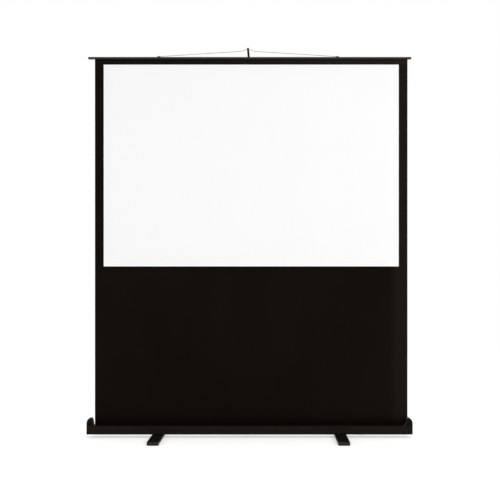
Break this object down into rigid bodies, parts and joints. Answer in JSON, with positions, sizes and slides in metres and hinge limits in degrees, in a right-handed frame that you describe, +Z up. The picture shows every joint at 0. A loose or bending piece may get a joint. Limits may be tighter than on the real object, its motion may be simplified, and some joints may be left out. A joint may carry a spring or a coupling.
{
  "type": "floor-standing projection screen",
  "caption": "Pull-up projection screen: white picture fabric with black borders winds out of a low floor case on swivel feet and hangs by a wire from a folding telescopic mast behind it.",
  "frame": {"origin": "on the floor, midway between the two feet and below the middle of the case", "axes": "+Z up, +X to the right seen from the front, +Y to the back; the picture faces -Y"},
  "size_m": [1.78, 0.44, 2.1451],
  "materials": {
    "black_metal": "black powder coat, fine texture, semi-matte",
    "black_bar": "black anodised aluminium, satin",
    "black_plastic": "black moulded plastic, fine grain",
    "grey_steel": "zinc-plated steel",
    "wire_steel": "twisted steel wire",
    "mast_metal": "black anodised aluminium tube",
    "pad_rubber": "black rubber",
    "nylon": "natural nylon",
    "picture_white": "matte white projection fabric",
    "black_fabric": "matte black coated fabric"
  },
  "bodies": {
    "case": {"case_shell": "black_metal", "left_end_cap": "black_plastic", "right_end_cap": "black_plastic", "end_cap_screws": "grey_steel", "roller_bush": "nylon", "spring_shaft": "grey_steel", "mast_bracket": "black_metal", "mast_bracket_screws": "grey_steel", "mast_pivot_bolt": "grey_steel", "mast_rest": "black_plastic", "mast_rest_screws": "grey_steel", "foot_pivot_bolts": "grey_steel", "foot_pivot_nuts": "grey_steel", "foot_pivot_washers": "nylon", "picture_sheet": "picture_white", "black_surround": "black_fabric"},
    "roller": {"roller_tube": "grey_steel", "roller_idle_plug": "nylon", "roller_spring_plug": "nylon", "spring_anchor_plug": "nylon", "roller_spring": "grey_steel", "fabric_wrap": "black_fabric"},
    "top_bar": {"top_bar": "black_bar", "left_bar_cap": "black_plastic", "right_bar_cap": "black_plastic", "fabric_top_rod": "nylon", "left_wire_anchor": "black_plastic", "right_wire_anchor": "black_plastic", "wire_anchor_screws": "grey_steel", "hanger_wire": "wire_steel"},
    "mast_lower": {"mast_knuckle": "black_plastic", "mast_lower_tube": "mast_metal", "lower_clamp_collar": "black_plastic", "lower_clamp_pin": "grey_steel"},
    "lower_lever": {"lower_clamp_lever": "black_plastic"},
    "mast_middle": {"mast_middle_tube": "mast_metal", "middle_guide_bush": "nylon", "upper_clamp_collar": "black_plastic", "upper_clamp_pin": "grey_steel"},
    "upper_lever": {"upper_clamp_lever": "black_plastic"},
    "mast_upper": {"mast_upper_tube": "mast_metal", "upper_guide_bush": "nylon", "mast_hook": "black_plastic"},
    "left_foot": {"left_foot_bar": "black_metal", "left_foot_pivot_block": "black_plastic", "left_foot_front_tip": "black_plastic", "left_foot_rear_tip": "black_plastic", "left_foot_pads": "pad_rubber"},
    "right_foot": {"right_foot_bar": "black_metal", "right_foot_pivot_block": "black_plastic", "right_foot_front_tip": "black_plastic", "right_foot_rear_tip": "black_plastic", "right_foot_pads": "pad_rubber"}
  },
  "joints": [
    {"name": "left_foot_swivel", "type": "hinge", "parent": "case", "child": "left_foot", "pos_m": [-0.502, 0, 0.018], "axis": [0, 0, 1], "range_deg": [0, 90]},
    {"name": "right_foot_swivel", "type": "hinge", "parent": "case", "child": "right_foot", "pos_m": [0.498, 0, 0.018], "axis": [0, 0, 1], "range_deg": [-90, 0]},
    {"name": "bar_lift", "type": "slide", "parent": "case", "child": "top_bar", "axis": [0, 0, 1], "range_m": [-2.0129, 0], "deforming": ["picture_sheet", "black_surround", "hanger_wire"]},
    {"name": "roller_spin", "type": "hinge", "parent": "case", "child": "roller", "pos_m": [0, 0, 0.0432], "axis": [1, 0, 0], "range_deg": [-6672, 0]},
    {"name": "mast_fold", "type": "hinge", "parent": "case", "child": "mast_lower", "pos_m": [-0.005, 0.05, 0.042], "axis": [0, 1, 0.0096], "range_deg": [0, 90]},
    {"name": "middle_slide", "type": "slide", "parent": "mast_lower", "child": "mast_middle", "axis": [0, -0.0096, 1], "range_m": [-0.58, 0]},
    {"name": "upper_slide", "type": "slide", "parent": "mast_middle", "child": "mast_upper", "axis": [0, -0.0096, 1], "range_m": [-0.655, 0]},
    {"name": "lower_lever_flip", "type": "hinge", "parent": "mast_lower", "child": "lower_lever", "pos_m": [-0.005, 0.06411, 0.77017], "axis": [0, 0.0096, -1], "range_deg": [0, 100]},
    {"name": "upper_lever_flip", "type": "hinge", "parent": "mast_middle", "child": "upper_lever", "pos_m": [-0.005, 0.05502, 1.40411], "axis": [0, 0.0096, -1], "range_deg": [0, 100]}
  ],
  "couplings": [
    {"joint": "roller_spin", "follows": "bar_lift", "rad_per_m": 57.803}
  ]
}
